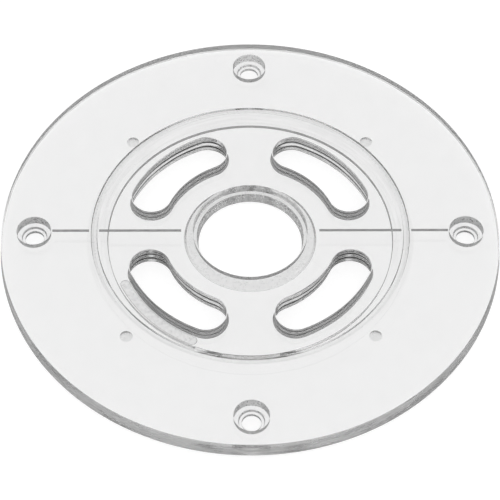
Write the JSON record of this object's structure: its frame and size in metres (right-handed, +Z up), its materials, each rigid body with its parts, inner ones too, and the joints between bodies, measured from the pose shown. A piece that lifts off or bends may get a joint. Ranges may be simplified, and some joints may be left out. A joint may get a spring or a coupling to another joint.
{
  "type": "round router base",
  "caption": "Round clear plastic router base with a counterbored centre hole, curved chip slots, stepped screw holes, a ring groove and a dark filled centre line.",
  "frame": {"origin": "middle of the central boss's underside, on the axis of the plate", "axes": "+Z up through the working face, +X along the centre line to the right of the picture, +Y to the back"},
  "size_m": [0.1534, 0.1534, 0.0072],
  "materials": {
    "clear_plastic": "clear moulded plastic, polished faces with a frosted hub recess on the underside",
    "dark_line_fill": "matt dark grey filling"
  },
  "bodies": {
    "root": {"base_plate": "clear_plastic", "centre_line_left_inner": "dark_line_fill", "centre_line_left_outer": "dark_line_fill", "centre_line_right_inner": "dark_line_fill", "centre_line_right_outer": "dark_line_fill"}
  },
  "joints": []
}
